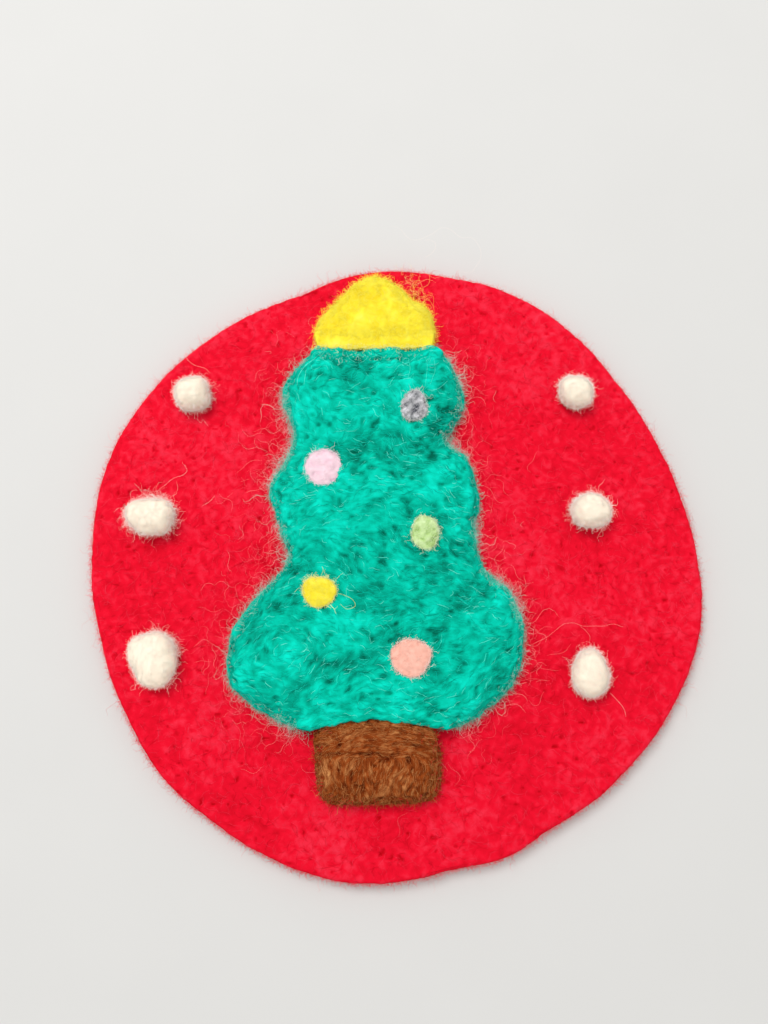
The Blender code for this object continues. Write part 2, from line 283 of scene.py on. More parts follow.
def wool_material(name, colours, grain_share=0.2, bump_depth=0.05 * MM, sheen=0.1):
    """Wool or felt: a shade from the mesh, broken up by fine noise, in three colours.

    A single fibre is too thin for a bump, so its bump_depth is 0.
    """
    deep, middle, light = colours
    material, nodes, shader = blank_material(name)
    set_inputs(shader, {"Sheen Weight": sheen, "Sheen Roughness": 0.6, "Sheen Tint": linear(*light)})
    set_inputs(shader, {"Specular IOR Level": 0.05})

    place = nodes.new("ShaderNodeTexCoord")
    fine = nodes.new("ShaderNodeTexNoise")
    set_inputs(fine, {"Scale": 1 / grain_width, "Detail": 3, "Roughness": 0.65})
    join(place, "Object", fine, "Vector")

    shade = nodes.new("ShaderNodeAttribute")
    shade.attribute_name = "shade"
    broken = nodes.new("ShaderNodeMath")
    broken.operation = "MULTIPLY_ADD"
    join(fine, "Fac", broken, 0)
    broken.inputs[1].default_value = 2 * grain_share
    join(shade, "Fac", broken, 2)
    centred = nodes.new("ShaderNodeMath")
    centred.operation = "SUBTRACT"
    centred.inputs[1].default_value = grain_share
    join(broken, "Value", centred, 0)

    ramp = nodes.new("ShaderNodeValToRGB")
    ramp.color_ramp.elements[0].color = linear(*deep)
    ramp.color_ramp.elements[1].color = linear(*light)
    ramp.color_ramp.elements.new(0.5).color = linear(*middle)
    join(centred, "Value", ramp, "Fac")
    join(ramp, "Color", shader, "Base Color")

    rough = nodes.new("ShaderNodeMapRange")
    set_inputs(rough, {"To Min": 0.82, "To Max": 1.0})
    join(fine, "Fac", rough, "Value")
    join(rough, "Result", shader, "Roughness")

    if bump_depth:
        bump = nodes.new("ShaderNodeBump")
        set_inputs(bump, {"Strength": 0.6, "Distance": bump_depth})
        join(fine, "Fac", bump, "Height")
        join(bump, "Normal", shader, "Normal")
    return material


# Each wool's deep, middle and light colour
wool_colours = {
    "red_felt": ((176, 0, 18), (231, 22, 47), (250, 70, 94)),
    "green_wool": ((0, 104, 84), (0, 188, 160), (16, 230, 204)),
    "brown_wool": ((78, 24, 2), (149, 71, 31), (208, 144, 88)),
    "yellow_wool": ((236, 202, 30), (250, 230, 60), (255, 246, 104)),
    # The white's deep end is pinkish: painted red light from the felt where the snow is shaded
    "white_wool": ((255, 222, 204), (254, 239, 217), (255, 248, 233)),
    "grey_wool": ((70, 72, 80), (156, 157, 160), (226, 224, 230)),
    "pink_wool": ((228, 168, 196), (248, 212, 224), (253, 234, 240)),
    "lime_wool": ((134, 172, 86), (192, 224, 148), (222, 245, 188)),
    "salmon_wool": ((238, 160, 142), (249, 185, 167), (254, 206, 190)),
}
hair_colours = {
    "red_felt": ((236, 60, 78), (246, 120, 126), (252, 190, 184)),
    "green_wool": ((60, 186, 160), (134, 214, 192), (214, 238, 226)),
    "brown_wool": ((150, 80, 44), (196, 128, 76), (228, 178, 126)),
    "yellow_wool": ((250, 224, 60), (252, 242, 110), (252, 252, 184)),
    # The white hair's deep end is pinkish: painted red light from the felt on the shaded down
    "white_wool": ((255, 208, 194), (254, 232, 220), (255, 250, 244)),
    "grey_wool": ((140, 142, 146), (196, 200, 198), (232, 238, 234)),
    "pink_wool": ((242, 196, 214), (251, 224, 234), (255, 244, 248)),
    "lime_wool": ((180, 218, 138), (214, 244, 176), (238, 254, 216)),
    "salmon_wool": ((248, 190, 174), (253, 214, 200), (255, 234, 224)),
}
pale_green = ((10, 214, 186), (50, 236, 210), (124, 250, 232))
coarse_wools = ("green_wool", "brown_wool", "grey_wool", "lime_wool")

# Each kind of material, by slot: the body of a wool, its laid strands, and its loose hairs
wool, strand, hair = {}, {}, {}
for slot, colours in wool_colours.items():
    if slot in coarse_wools:
        wool[slot] = wool_material(slot, colours)
    else:
        wool[slot] = wool_material(slot + "_smooth", colours, grain_share=0.1, bump_depth=0.02 * MM)
    strand[slot] = wool_material(slot + "_strand", colours, bump_depth=0)
    hair[slot] = wool_material(slot + "_hair", hair_colours[slot], bump_depth=0, sheen=0.25)
pale_strand = {"green_wool": wool_material("green_wool_pale_strand", pale_green, bump_depth=0)}


def dress(piece, material):
    piece.data.materials.clear()
    piece.data.materials.append(material)
    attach(piece, "root")
    return piece


# How wool lies: the direction of its fibres at each point, as unit vectors along the surface

def across_surface(headings, normals):
    """Headings laid down onto the surface."""
    headings = headings - normals * np.sum(headings * normals, axis=-1, keepdims=True)
    return unit(headings)


def level_headings(angles, normals):
    heading = np.stack([np.cos(angles), np.sin(angles), np.zeros(len(angles))], axis=-1)
    return across_surface(heading, normals)


def tangle(points, width, seed):
    """How far fibres turn off their way, in radians, in tangles of this width."""
    return noise(points, width * 2, seed) + 0.7 * noise(points, width, seed + 1)


def random_flow(width, seed):
    """Short locks that lie every way."""
    def flow(points, normals):
        return level_headings(math.pi * tangle(points, width, seed), normals)
    return flow


def doubled(angles):
    """Lines without a head or tail are added up at twice their angle."""
    return np.stack([np.cos(2 * angles), np.sin(2 * angles)], axis=-1)


swirls = (
    (from_photo(291, 652, 3.4 * MM), 8 * MM, 1.6),
    (from_photo(462, 640, 3.4 * MM), 7 * MM, 0.8),
)


def tree_flow(points, normals):
    """Level across the tree, round its rim, and in a swirl in its lower left lobe."""
    middle, top = (tree_low.y + tree_high.y) / 2, tree_high.y
    upper = smooth_step(points[:, 1], middle + 4 * MM, top - 4 * MM)
    level = 0.5 * noise(points, 9 * MM, 41) + (0.5 + 1.3 * upper) * noise(points, 4.5 * MM, 42)
    tilt = smooth_step(1 - normals[:, 2], 0.05, 0.5)[:, None]
    rim = np.arctan2(normals[:, 1], normals[:, 0]) + math.pi / 2
    total = doubled(level) * (1 - tilt) + 1.6 * tilt * doubled(rim)
    for centre, reach, strength in swirls:
        apart = points[:, :2] - [centre.x, centre.y]
        turn = np.arctan2(apart[:, 1] * 1.2, apart[:, 0]) + math.pi / 2
        away = np.sum((apart / reach) ** 2, axis=1)
        near = strength * np.exp(-away) * (1 - np.exp(-away * 16))
        total = total + near[:, None] * doubled(turn)
    angles = np.arctan2(total[:, 1], total[:, 0]) / 2
    return level_headings(angles + (0.65 + 0.4 * upper) * tangle(points, 0.8 * MM, 44), normals)


trunk_fold = from_photo(330, 755, 3.1 * MM)


def trunk_crease(points):
    """A fold across the trunk, deepest on its left, which felted sinks and paints darker as a painted
    shade.
    """
    line = trunk_fold.y + 0.12 * MM * np.sin(points[:, 0] / (1.4 * MM))
    fade = smooth_step(points[:, 0], trunk_low.x, trunk_low.x + 2 * MM)
    fade *= 1 - smooth_step(points[:, 0], -4 * MM, 2 * MM)
    return 0.7 * fade * np.exp(-((points[:, 1] - line) / (0.25 * MM)) ** 2)


def trunk_flow(points, normals):
    """Along the arch at the top of the trunk, and upright below its fold."""
    lower = 1 - smooth_step(points[:, 1], trunk_fold.y - 1.5 * MM, trunk_fold.y + 0.5 * MM)
    bend = -0.05 * (points[:, 0] - (trunk_low.x + trunk_high.x) / 2) / MM
    upright = doubled(np.full(len(points), math.pi / 2))
    total = doubled(bend) * (1 - lower)[:, None] + upright * lower[:, None]
    angles = np.arctan2(total[:, 1], total[:, 0]) / 2
    return level_headings(angles + (0.3 + 0.6 * lower) * tangle(points, 1.0 * MM, 51), normals)


def wound_flow(seed):
    """Round and round, as a ball of wool is wound."""
    def flow(points, normals):
        axis = np.stack([noise(points, 5 * MM, seed + step) for step in range(3)], axis=-1)
        return unit(np.cross(normals, axis + [0.3, 0.2, 0.9]))
    return flow


# Wool and felt surfaces

# A layer without a length has lumps, one with a length has streaks, and one with a level has only
# what rises above it, as pits do. Its width, length and height are in millimetres. Its shade mostly
# goes with its height: besides the wool's own uneven tone, raised lumps and streaks are painted
# lighter, a painted highlight, and sunk pits and hollows are painted darker, a painted shade.
Layer = namedtuple("Layer", "width length height shade level", defaults=(0, 0, 0, None))
Tuft = namedtuple("Tuft", "slot mesh surface flow")


def layer_values(points, along, layer, seed):
    width, length = mm(layer.width, layer.length)
    if length:
        values = streaks(points, along, length, width, seed)
    else:
        values = lumps(points, width, seed)
    if layer.level is not None:
        values = smooth_step(values, layer.level, layer.level + 1.3)
    return values


def felted(mesh, flow, layers, seed, held, swell=0.0, mean=0.5, rim=0.0, crease=None):
    """Shapes a surface as a felting needle leaves it, and writes its shade.

    swell moves it all outwards, mean is its usual shade and rim how much lighter its sides are; a
    negative rim darkens the sides as a painted shade.
    held is how far each point stays where it is, from 0 to 1, and crease how deep in a fold it lies;
    a fold is sunk and painted darker, a painted shade.
    """
    points, normals = points_of(mesh), normals_of(mesh)
    along = flow(points, normals)
    rise, shade = np.full(len(points), swell), np.full(len(points), mean)
    # Sides lighter or darker than the top by rim; a negative rim is a painted shade on the sides
    shade += rim * smooth_step(1 - normals[:, 2], 0.1, 0.6)
    if crease:
        depth = crease(points)
        rise -= 0.3 * MM * depth
        # The fold is painted darker as well as sunk: a painted shade
        shade -= 0.4 * depth
    for step, layer in enumerate(layers):
        values = layer_values(points, along, layer, seed + 10 * step)
        rise += layer.height * MM * values
        # Each layer's shade rides with its height: painted light on rises, painted shade in pits
        shade += layer.shade * values
    points = points + normals * (rise * (1 - held(points)))[:, None]
    points[:, 2] = np.maximum(points[:, 2], 0)
    set_points(mesh, points)
    set_shade(mesh, shade)


def wool_piece(
    node, slot, flow, layers, seed, voxel, rounding, swell, reshape=None, softening=0, fillers=(),
    mean=0.5, rim=0.0, crease=None
):
    """A tuft of wool in place of its CAD solid. voxel and swell are in millimetres.

    softening is how many times its bends are rounded off after reshape, and the rest is passed on.
    """
    sunk = 0.3 * MM
    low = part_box(node)[0].z
    foot = max(low + 0.05 * MM, felt_top - sunk if low < felt_top else low)
    mesh = even_mesh(node, voxel * MM, rounding, foot, fillers)
    if reshape:
        set_points(mesh, reshape(points_of(mesh)))
        round_off(mesh, softening)

    def held(points):
        return 1 - smooth_step(points[:, 2], foot, foot + 0.5 * MM)

    felted(mesh, flow, layers, seed, held, swell * MM, mean, rim, crease)
    piece = dress(show(node + "_wool", mesh), wool[slot])
    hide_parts(node)
    return Tuft(slot, mesh, surface_of(mesh), flow)


def joined_to(neighbour, seam_height, push, uneven):
    """Fills up the rounded shoulder of a wool beside its neighbour, and moves it up to it.

    The filled part rises a little from the height of the seam. push is how much of the way to the
    neighbour's solid it goes, and uneven how far its edge goes back and forth.
    """
    other = surface_of(NODES[neighbour].data)
    reach, rise = 3.0 * MM, 0.16

    def reshape(points):
        found = [other.find_nearest(point, reach) for point in points.tolist()]
        near_ones = np.array([index for index, item in enumerate(found) if item[0] is not None])
        places = np.array([found[index][0] for index in near_ones])
        flat = places[:, :2] - points[near_ones, :2]
        away = np.hypot(*flat.T)
        near = 1 - smooth_step(away, reach * 0.6, reach)
        upper = smooth_step(points[near_ones, 2], felt_top + 0.2 * MM, felt_top + 1.0 * MM)
        beside = 1 - smooth_step(away, 0.3 * MM, reach * 0.8)
        wave = noise(points[near_ones], 2.2 * MM, 31) + noise(points[near_ones], 0.9 * MM, 32)
        wave = uneven * even_spread(wave)
        points[near_ones, :2] += (push * flat + unit(flat) * wave[:, None]) * (beside * upper)[:, None]
        filled = seam_height + rise * away
        points[near_ones, 2] += near * upper * np.maximum(filled - points[near_ones, 2], 0)
        return points
    return reshape


def snow_dome(fullness, height, sloping, bumps):
    """Makes a ball a full dome with bumps, whose sides come down to the felt without a neck.

    fullness is less for a fuller dome, height is a share of the solid's, and sloping is how much
    lower its rim lies than its middle, as a share of its height.
    """
    slices, sectors, drawn_in_foot = 24, 36, 0.06

    def reshape(points):
        middle = (points[:, :2].min(axis=0) + points[:, :2].max(axis=0)) / 2
        aside = points[:, :2] - middle
        reach = np.hypot(*aside.T)
        levels = np.linspace(points[:, 2].min(), points[:, 2].max(), slices)
        level_of = np.digitize(points[:, 2], levels) - 1
        widths = np.array([reach[level_of == level].max() for level in range(slices)])
        widest = levels[np.argmax(widths)]
        below = points[:, 2] < widest
        share = np.clip((widest - points[:, 2]) / (widest - felt_top), 0, 1)
        full = widths.max() * (1 - drawn_in_foot * share ** 2)
        wider = full / np.interp(points[:, 2], levels, widths)
        points[:, :2] += aside * ((wider - 1) * below)[:, None]
        angle = np.arctan2(aside[:, 1], aside[:, 0])
        for heading, out, width in bumps:
            turn = (angle - math.radians(heading) + math.pi) % TURN - math.pi
            lobe = out * np.exp(-(turn / math.radians(width)) ** 2)
            points[:, :2] += aside * (wider ** below * lobe)[:, None]
        low, high = felt_top, points[:, 2].max()
        share = np.clip((points[:, 2] - low) / (high - low), 0, 1)
        edges = np.linspace(-math.pi, math.pi, sectors + 1)
        sector = np.digitize(angle, edges)
        outline = [reach[sector == number].max() for number in range(1, sectors + 1)]
        outward = reach / np.interp(angle, (edges[:-1] + edges[1:]) / 2, outline, period=TURN)
        slope = 1 - sloping * np.minimum(outward, 1) ** 3
        raised = low + (high - low) * height * slope * share ** fullness
        points[:, 2] = np.where(points[:, 2] > low, raised, points[:, 2])
        return points
    return reshape


# Fibres

# kind is a set of materials, one for each slot. length, radius, lift and scatter are in
# millimetres, and lengths, height and floor are in metres.
UP = (0, 0, 1)


def add_fibres(name, slot, kind, paths, radius, shade, end_share=0.35, facing=UP):
    """Thin closed tubes of three sides along paths, as one piece.

    radius is one for all of them, or a range, as shade is. One side of each tube lies flat on top,
    so they catch the light as the wool below them does, whose outward direction is facing.
    """
    count, steps = paths.shape[:2]
    radii = rng.uniform(*mm(*radius), size=(count, 1)) if isinstance(radius, tuple) else radius * MM
    shades = rng.uniform(*shade, size=count)
    ahead = np.empty_like(paths)
    ahead[:, 1:-1] = paths[:, 2:] - paths[:, :-2]
    ahead[:, 0] = paths[:, 1] - paths[:, 0]
    ahead[:, -1] = paths[:, -1] - paths[:, -2]
    ahead = unit(ahead)
    side = unit(np.cross(ahead, facing))
    other = np.cross(ahead, side)
    taper = 1 - (1 - end_share) * np.abs(np.linspace(-1, 1, steps)) ** 3
    reach = (radii * taper[None, :])[..., None]
    turns = TURN * (np.arange(3) / 3 - 1 / 12)
    sides = np.stack([side * math.cos(turn) + other * math.sin(turn) for turn in turns], axis=2)
    points = (paths[:, :, None] + reach[:, :, None] * sides).reshape(-1, 3)
    points[:, 2] = np.maximum(points[:, 2], 0)
    wool_normals = np.broadcast_to(facing, paths.shape)[:, :, None]
    normals = unit(wool_normals + 0.4 * sides).astype(np.float32)

    first = np.arange(count)[:, None, None] * steps * 3
    ring = np.arange(steps - 1)[None, :, None] * 3
    here = np.arange(3)[None, None, :]
    a, b = first + ring + here, first + ring + (here + 1) % 3
    walls = np.stack([np.stack([a, b, b + 3], -1), np.stack([a, b + 3, a + 3], -1)], axis=3)
    start = first[:, 0, :]
    end = start + (steps - 1) * 3
    caps = np.stack([start + [0, 2, 1], end + [0, 1, 2]], axis=1)
    mesh = bpy.data.meshes.new(name)
    mesh.from_pydata(points, [], np.concatenate([walls.reshape(-1, 3), caps.reshape(-1, 3)]))
    mesh.shade_smooth()
    lit = mesh.attributes.new("custom_normal", "FLOAT_VECTOR", "POINT")
    lit.data.foreach_set("vector", normals.ravel())
    set_shade(mesh, np.repeat(shades, steps * 3))
    dress(show(name, mesh), kind[slot])


def random_starts(mesh, count, wanted, tufts=0.0):
    """Random points of a mesh, and their normals, among those that wanted picks.

    tufts is how much they gather in places, from 0 to 1.
    """
    points, normals = points_of(mesh), normals_of(mesh)
    found = np.flatnonzero(wanted(points, normals))
    thick = smooth_step(even_spread(noise(points[found], 4 * MM, 77)), -0.6, 1.4)
    weight = 1 - tufts + tufts * thick
    picked = rng.choice(found, count, p=weight / weight.sum())
    return points[picked] + rng.normal(size=(count, 3)) * 0.05 * MM, normals[picked]


def seen_from_above(points, normals):
    return (points[:, 2] > felt_top - 0.4 * MM) & (normals[:, 2] > -0.1)


def laid_fibres(tuft, name, count, length, radius, shade, lift, stray=0.8, kind=strand):
    """Fibres that lie on a tuft. stray is how little they keep to its flow, from 0 to 1."""
    steps = 6
    starts, _ = random_starts(tuft.mesh, count, seen_from_above)
    places, normals = nearest_on(tuft.surface, starts)
    headings = across_surface(rng.normal(size=starts.shape), normals)
    lengths = rng.uniform(*mm(*length), size=(count, 1))
    paths, uprights = [places], [normals]
    for _ in range(steps - 1):
        along = tuft.flow(places, normals)
        along = along * np.sign(np.sum(along * headings, axis=1, keepdims=True) + 1e-9)
        turned = stray * (headings + 0.5 * rng.normal(size=starts.shape)) + (1 - stray) * along
        headings = across_surface(turned, normals)
        places, normals = nearest_on(tuft.surface, places + headings * lengths / (steps - 1))
        paths.append(places)
        uprights.append(normals)
    paths, uprights = np.stack(paths, axis=1), np.stack(uprights, axis=1)
    place = np.linspace(-1, 1, steps)[None, :]
    ends = rng.uniform(-1, 1, size=(count, 2))
    height = ends[:, :1] * np.clip(-place, 0, 1) ** 2 + ends[:, 1:] * np.clip(place, 0, 1) ** 2
    height = 0.02 * MM + lift * MM * (height + 0.3 * rng.uniform(size=(count, 1)))
    paths = paths + uprights * height[..., None]
    add_fibres(name, tuft.slot, kind, paths, radius, shade, facing=uprights)


def hair_paths(
    starts, outward, lengths, floor, steps=5, spread=0.8, curl=1.3, climb=(-0.1, 0.5), fall=(0.2, 1.4)
):
    """Paths of loose hairs that leave a surface and curl over what lies beside it.

    spread is how far they turn off the headings in outward. They start as steep as climb says, and
    have lost the slope in fall at their ends. All of these are in radians.
    """
    count = len(starts)
    share = np.linspace(0, 1, steps)[None, :]
    turn = outward[:, None] + rng.normal(size=(count, 1)) * spread
    turn = turn + rng.normal(size=(count, 1)) * curl * share
    waves = rng.uniform(0.6, 1.6, (count, 1)) * share + rng.uniform(size=(count, 1))
    turn = turn + 0.5 * curl * np.sin(TURN * waves)
    slope = rng.uniform(*climb, size=(count, 1)) - rng.uniform(*fall, size=(count, 1)) * share
    ahead = np.stack([np.cos(turn) * np.cos(slope), np.sin(turn) * np.cos(slope), np.sin(slope)], -1)
    moved = np.cumsum(ahead[:, :-1], axis=1) * (lengths / (steps - 1))[:, None, None]
    paths = np.concatenate([starts[:, None], starts[:, None] + moved], axis=1)
    paths[..., 2] = np.maximum(paths[..., 2], floor)
    return paths


def by_seam(points):
    """Whether points lie in a gap between two wools."""
    topper_seam, topper_half = tree_high.y + 0.15 * MM, 8.3 * MM
    under_topper = np.abs(points[:, 1] - topper_seam) < 0.9 * MM
    under_topper &= np.abs(points[:, 0] - topper_middle) < topper_half
    trunk_middle, trunk_half = (trunk_low.x + trunk_high.x) / 2, (trunk_high.x - trunk_low.x) / 2
    over_trunk = np.abs(points[:, 1] - trunk_high.y) < 1.6 * MM
    over_trunk &= np.abs(points[:, 0] - trunk_middle) < trunk_half - 0.6 * MM
    return under_topper | over_trunk


def halo(
    tuft, name, count, length, radius, shade, zone=(0.08, 0.6), steep=1.1, floor=felt_top, tufts=0.2,
    slot=None, kind=hair, **run
):
    """Loose hairs round the sides of a tuft, which start in a zone of its height.

    None starts beside a seam with another wool, or where the wool faces up more than steep says.
    run is how they run, as hair_paths takes it.
    """
    bottom, top = heights_of(tuft.mesh)
    low, high = bottom + zone[0] * (top - bottom), bottom + zone[1] * (top - bottom)

    def sides(points, normals):
        return (points[:, 2] > low) & (points[:, 2] < high) & (normals[:, 2] < steep) & ~by_seam(points)

    starts, normals = random_starts(tuft.mesh, count, sides, tufts)
    outward = np.arctan2(normals[:, 1], normals[:, 0])
    length = length * MM
    lengths = np.minimum(rng.gamma(2.0, length / 2, count), 4 * length)
    paths = hair_paths(starts, outward, lengths, floor + 0.03 * MM, **run)
    add_fibres(name, slot or tuft.slot, kind, paths, radius, shade)


def seam_hairs(
    name, slot, ends, height, count, length, scatter, radius=(0.014, 0.022), headings=(0, TURN), kind=hair
):
    """Hairs that leave the line between two points at these headings."""
    share = rng.uniform(size=(count, 1))
    starts = np.array(ends[0]) * (1 - share) + np.array(ends[1]) * share
    starts += rng.normal(size=(count, 3)) * (scatter * MM)
    starts[:, 2] = height + rng.uniform(-0.1 * MM, 0.25 * MM, count)
    outward = rng.uniform(*headings, size=count)
    lengths = rng.gamma(2.0, length * MM / 2, count)
    floor = height - 0.2 * MM
    paths = hair_paths(starts, outward, lengths, floor, 8, 0.2, 2.2, climb=(0.0, 0.4), fall=(0.2, 0.9))
    add_fibres(name, slot, kind, paths, radius, (0.2, 1.0))


# The wool pieces

rng = np.random.default_rng(11)
tree_source = surface_of(NODES["tree_body"].data)
snow = sorted(node for node in NODES if node.startswith("snow"))
ornaments = sorted(node for node in NODES if node.startswith("ornament"))


def meeting_height(node):
    """How high the tree's wool is round an ornament."""
    low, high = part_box(node)
    middle, beside = (low + high) / 2, 3.6
    heights = []
    for angle in np.linspace(0, TURN, 12, endpoint=False):
        place = middle + Vector((math.cos(angle), math.sin(angle), 0)) * beside * MM
        heights.append(tree_source.ray_cast((place.x, place.y, high.z * 2), (0, 0, -1))[0].z)
    return float(np.median(heights))


def pocket_filler(node):
    """A copy of an ornament's solid, wide enough to close its pocket and cut down to the wool's height."""
    mesh = NODES[node].data.copy()
    low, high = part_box(node)
    middle, room, sunk = np.array((low + high) / 2), 1.1 * MM, 0.08 * MM
    points = points_of(mesh) - middle
    points[:, :2] *= 1 + room / (high.x - low.x)
    points += middle
    points[:, 2] = np.minimum(points[:, 2], meeting_height(node) - sunk)
    set_points(mesh, points)
    return mesh


def add_tree():
    layers = (
        Layer(2.6, height=0.16, shade=0.10),
        Layer(0.9, height=0.06, shade=0.11),
        Layer(0.2, 0.95, height=0.035, shade=0.08),
        # Needle pits and hollows: sunk, and painted darker as a painted shade
        Layer(0.4, 0.7, height=-0.3, shade=-0.28, level=0.75),
        Layer(1.1, height=-0.14, shade=-0.12, level=1.0),
    )
    join_top = joined_to("tree_topper", 4.95 * MM, 0.3, 0.2 * MM)
    join_foot = joined_to("tree_trunk", 4.95 * MM, 0.4, 0.16 * MM)
    tree = wool_piece(
        "tree_body", "green_wool", tree_flow, layers, 100, voxel=0.22, rounding=20, swell=0.2,
        reshape=lambda points: join_foot(join_top(points)),
        fillers=[pocket_filler(node) for node in ornaments],
    )
    for name, count, shade, radius, lift, kind in (
        ("tree_fibres_light", 5000, (0.45, 1.0), (0.012, 0.022), 0.16, strand),
        ("tree_fibres_deep", 3600, (0.0, 0.6), (0.012, 0.022), 0.16, strand),
        ("tree_fibres_pale", 1300, (0.0, 1.0), (0.018, 0.03), 0.06, pale_strand),
    ):
        laid_fibres(tree, name, count, (0.6, 2.2), radius, shade, lift, stray=0.6, kind=kind)
    halo(
        tree, "tree_fuzz_green", 4200, 0.55, (0.012, 0.02), (0.3, 1.0), spread=0.7, climb=(-0.3, 0.2),
        kind=strand,
    )
    halo(tree, "tree_fuzz_pale", 2400, 0.8, (0.010, 0.016), (0.4, 1.0), climb=(-0.3, 0.2), tufts=0.6)
    halo(
        tree, "tree_wisps", 700, 1.7, (0.010, 0.016), (0.3, 1.0), steps=8, spread=1.1, curl=1.8,
        climb=(-0.3, 0.3), tufts=0.9,
    )
    halo(
        tree, "tree_red_wisps", 1500, 2.0, (0.011, 0.018), (0.2, 1.0), zone=(0.02, 0.3), steps=8,
        spread=0.9, curl=1.8, climb=(-0.4, 0.2), tufts=0.9, slot="red_felt",
    )
    return tree


def add_trunk():
    layers = (
        Layer(1.6, height=0.08, shade=0.08),
        Layer(0.5, height=0.03, shade=0.05),
        Layer(0.22, 0.7, height=0.035, shade=0.12),
        # Needle pits: sunk, and painted darker as a painted shade
        Layer(0.28, 0.5, height=-0.2, shade=-0.3, level=0.6),
    )
    # rim darkens the trunk's steep sides and the crease darkens its fold: both painted shade
    trunk = wool_piece(
        "tree_trunk", "brown_wool", trunk_flow, layers, 200, voxel=0.16, rounding=24, swell=-0.18,
        reshape=joined_to("tree_body", 4.85 * MM, 0.6, 0.1 * MM), rim=-0.12, crease=trunk_crease,
    )
    laid_fibres(trunk, "trunk_fibres", 4600, (0.5, 1.8), (0.014, 0.024), (0.0, 1.0), 0.14, stray=0.45)
    halo(trunk, "trunk_fuzz", 2200, 0.6, (0.013, 0.021), (0.1, 0.9), zone=(0.08, 0.9), kind=strand)
    halo(
        trunk, "trunk_red_wisps", 420, 0.8, (0.013, 0.02), (0.0, 0.8), zone=(0.05, 0.8), spread=1.6,
        climb=(0.0, 0.5), slot="red_felt", kind=strand,
    )
    return trunk


def add_topper():
    layers = (
        Layer(2.0, height=0.06, shade=0.09),
        Layer(0.5, height=0.01, shade=0.05),
        Layer(0.3, 1.0, height=0.012, shade=0.07),
        # Needle pits: sunk, and painted darker as a painted shade
        Layer(0.3, 0.5, height=-0.1, shade=-0.25, level=1.5),
    )
    topper = wool_piece(
        "tree_topper", "yellow_wool", random_flow(1.5 * MM, 61), layers, 300, voxel=0.2, rounding=20,
        swell=0.06, reshape=joined_to("tree_body", 5.0 * MM, 1.1, 0.18 * MM), softening=6, mean=0.45,
    )
    laid_fibres(topper, "topper_fibres", 1100, (0.6, 2.0), (0.012, 0.02), (0.3, 1.0), 0.06)
    halo(topper, "topper_fuzz", 3600, 0.5, (0.013, 0.021), (0.4, 1.0), zone=(0.2, 0.95), kind=strand)
    return topper


# Each snow ball: how ragged it is, and the bumps of its outline. A bump has its direction in degrees,
# how far it goes out or in as a share of the ball's reach, and its width in degrees.
snow_looks = {
    "snow_left_top": (1.2, ((142, 0.12, 24), (49, 0.14, 20), (-32, 0.16, 20))),
    "snow_left_middle": (
        2.6, ((150, 0.12, 20), (178, 0.1, 20), (-115, 0.1, 24), (-50, 0.1, 26), (33, 0.07, 20)),
    ),
    "snow_left_bottom": (
        1.5, ((145, 0.2, 30), (-152, -0.06, 16), (-110, 0.07, 16), (-65, 0.12, 24), (-25, 0.1, 28)),
    ),
    "snow_right_top": (1.0, ((133, 0.16, 20), (36, -0.06, 20), (-46, 0.08, 24))),
    "snow_right_middle": (1.6, ((0, 0.1, 34), (90, -0.08, 28))),
    "snow_right_bottom": (1.0, ((80, 0.05, 14), (-90, 0.05, 30))),
}


def add_snow(node, index):
    ragged, bumps = snow_looks[node]
    layers = (
        Layer(1.3, height=0.05 * ragged, shade=0.02),
        Layer(0.24, 0.7, height=0.006, shade=0.06),
    )
    # rim darkens the ball's sides towards the pinkish deep white: painted shade and painted red light from
    # the felt
    ball = wool_piece(
        node, "white_wool", wound_flow(400 + 9 * index), layers, 420 + 50 * index, voxel=0.16,
        rounding=12, swell=-0.26, reshape=snow_dome(0.6, 0.92, 0.2, bumps), softening=90, rim=-0.05,
    )
    laid_fibres(ball, node + "_fibres", 500, (0.6, 2.0), (0.010, 0.016), (0.7, 1.0), 0.03)
    halo(
        ball, node + "_down", 2400, 0.32, (0.012, 0.02), (0.2, 1.0), zone=(0.05, 0.95), steep=0.75,
        steps=4, spread=0.9, climb=(-0.5, 0.3), fall=(0.0, 0.5),
    )
    halo(
        ball, node + "_fuzz", round(380 * ragged), 0.7 * ragged ** 0.4, (0.008, 0.013), (0.1, 1.0),
        zone=(0.05, 0.95), steep=0.7, spread=1.0, climb=(-0.4, 0.4), curl=1.8, tufts=0.8,
    )
    return ball


